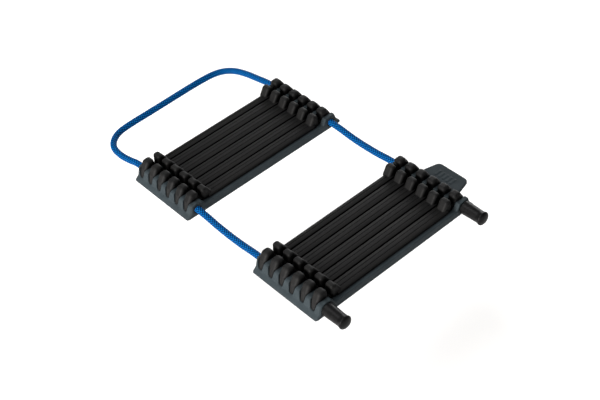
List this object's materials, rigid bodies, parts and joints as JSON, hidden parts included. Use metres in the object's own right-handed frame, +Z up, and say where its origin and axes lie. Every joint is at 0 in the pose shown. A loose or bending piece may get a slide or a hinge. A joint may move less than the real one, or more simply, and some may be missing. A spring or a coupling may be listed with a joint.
{
  "type": "bicycle frame protector",
  "caption": "Two flexible ribbed pads strung on one elastic cord with an end loop and capped ends, wrapped round a frame tube so that a carrier clamp can grip it.",
  "frame": {"origin": "middle of the underside of the front pad (the one with the end caps), on the surface it rests on", "axes": "+X along the ribs towards the pull tab, +Y from the front pad towards the rear pad and the cord loop, +Z up, away from the tube"},
  "size_m": [0.1255, 0.2155, 0.0121],
  "materials": {
    "rib": "matte moulded black",
    "base": "matte slate grey rubber",
    "cord": "braided polyester sheath, bright blue",
    "cap": "satin black",
    "crimp": "plain"
  },
  "bodies": {
    "front_strip_4": {"front_rib_4": "rib", "front_base_4": "base", "front_tunnel_cord_4": "cord"},
    "front_strip_1": {"front_rib_1": "rib", "front_base_1": "base", "front_tunnel_cord_1": "cord"},
    "front_strip_2": {"front_rib_2": "rib", "front_base_2": "base", "front_tunnel_cord_2": "cord"},
    "front_strip_3": {"front_rib_3": "rib", "front_base_3": "base", "front_tunnel_cord_3": "cord"},
    "front_strip_5": {"front_rib_5": "rib", "front_base_5": "base", "front_tunnel_cord_5": "cord"},
    "front_strip_6": {"front_rib_6": "rib", "front_base_6": "base", "front_tunnel_cord_6": "cord", "end_cap_right": "cap", "end_cap_left": "cap", "cord_crimp_right": "crimp", "cord_crimp_left": "crimp"},
    "rear_strip_1": {"rear_rib_1": "rib", "rear_base_1": "base", "rear_tunnel_cord_1": "cord"},
    "rear_strip_2": {"rear_rib_2": "rib", "rear_base_2": "base", "rear_tunnel_cord_2": "cord"},
    "rear_strip_3": {"rear_rib_3": "rib", "rear_base_3": "base", "rear_tunnel_cord_3": "cord"},
    "rear_strip_4": {"rear_rib_4": "rib", "rear_base_4": "base", "rear_tunnel_cord_4": "cord"},
    "rear_strip_5": {"rear_rib_5": "rib", "rear_base_5": "base", "rear_tunnel_cord_5": "cord"},
    "rear_strip_6": {"rear_rib_6": "rib", "rear_base_6": "base", "rear_tunnel_cord_6": "cord"},
    "cord_span": {"cord_leg_right": "cord", "cord_leg_left": "cord"},
    "cord_loop": {"cord_loop": "cord"}
  },
  "joints": [
    {"name": "front_curl_4_3", "type": "hinge", "parent": "front_strip_4", "child": "front_strip_3", "pos_m": [0, 0.00082, 0], "axis": [-1, 0, 0], "range_deg": [0, 18], "stiffness_Nm_per_rad": 0.03},
    {"name": "front_curl_3_2", "type": "hinge", "parent": "front_strip_3", "child": "front_strip_2", "pos_m": [0, 0.00902, 0], "axis": [-1, 0, 0], "range_deg": [0, 18], "stiffness_Nm_per_rad": 0.03},
    {"name": "front_curl_2_1", "type": "hinge", "parent": "front_strip_2", "child": "front_strip_1", "pos_m": [0, 0.01722, 0], "axis": [-1, 0, 0], "range_deg": [0, 18], "stiffness_Nm_per_rad": 0.03},
    {"name": "front_curl_4_5", "type": "hinge", "parent": "front_strip_4", "child": "front_strip_5", "pos_m": [0, -0.00738, 0], "axis": [1, 0, 0], "range_deg": [0, 18], "stiffness_Nm_per_rad": 0.03},
    {"name": "front_curl_5_6", "type": "hinge", "parent": "front_strip_5", "child": "front_strip_6", "pos_m": [0, -0.01558, 0], "axis": [1, 0, 0], "range_deg": [0, 18], "stiffness_Nm_per_rad": 0.03},
    {"name": "front_cord_bend", "type": "hinge", "parent": "front_strip_1", "child": "cord_span", "pos_m": [0, 0.02542, 0.0019], "axis": [-1, 0, 0], "range_deg": [0, 35], "stiffness_Nm_per_rad": 0.06},
    {"name": "rear_cord_bend", "type": "hinge", "parent": "cord_span", "child": "rear_strip_6", "pos_m": [0, 0.08069, 0.0019], "axis": [-1, 0, 0], "range_deg": [0, 35], "stiffness_Nm_per_rad": 0.06},
    {"name": "rear_curl_6_5", "type": "hinge", "parent": "rear_strip_6", "child": "rear_strip_5", "pos_m": [0, 0.09053, 0], "axis": [-1, 0, 0], "range_deg": [0, 18], "stiffness_Nm_per_rad": 0.03},
    {"name": "rear_curl_5_4", "type": "hinge", "parent": "rear_strip_5", "child": "rear_strip_4", "pos_m": [0, 0.09873, 0], "axis": [-1, 0, 0], "range_deg": [0, 18], "stiffness_Nm_per_rad": 0.03},
    {"name": "rear_curl_4_3", "type": "hinge", "parent": "rear_strip_4", "child": "rear_strip_3", "pos_m": [0, 0.10693, 0], "axis": [-1, 0, 0], "range_deg": [0, 18], "stiffness_Nm_per_rad": 0.03},
    {"name": "rear_curl_3_2", "type": "hinge", "parent": "rear_strip_3", "child": "rear_strip_2", "pos_m": [0, 0.11513, 0], "axis": [-1, 0, 0], "range_deg": [0, 18], "stiffness_Nm_per_rad": 0.03},
    {"name": "rear_curl_2_1", "type": "hinge", "parent": "rear_strip_2", "child": "rear_strip_1", "pos_m": [0, 0.12333, 0], "axis": [-1, 0, 0], "range_deg": [0, 18], "stiffness_Nm_per_rad": 0.03},
    {"name": "loop_bend", "type": "hinge", "parent": "rear_strip_1", "child": "cord_loop", "pos_m": [0, 0.13153, 0.0019], "axis": [-1, 0, 0], "range_deg": [0, 60], "stiffness_Nm_per_rad": 0.06}
  ],
  "couplings": [
    {"joint": "front_curl_3_2", "follows": "front_curl_4_3", "ratio": 1},
    {"joint": "front_curl_2_1", "follows": "front_curl_4_3", "ratio": 1},
    {"joint": "front_curl_4_5", "follows": "front_curl_4_3", "ratio": 1},
    {"joint": "front_curl_5_6", "follows": "front_curl_4_3", "ratio": 1},
    {"joint": "rear_curl_5_4", "follows": "rear_curl_6_5", "ratio": 1},
    {"joint": "rear_curl_4_3", "follows": "rear_curl_6_5", "ratio": 1},
    {"joint": "rear_curl_3_2", "follows": "rear_curl_6_5", "ratio": 1},
    {"joint": "rear_curl_2_1", "follows": "rear_curl_6_5", "ratio": 1}
  ]
}
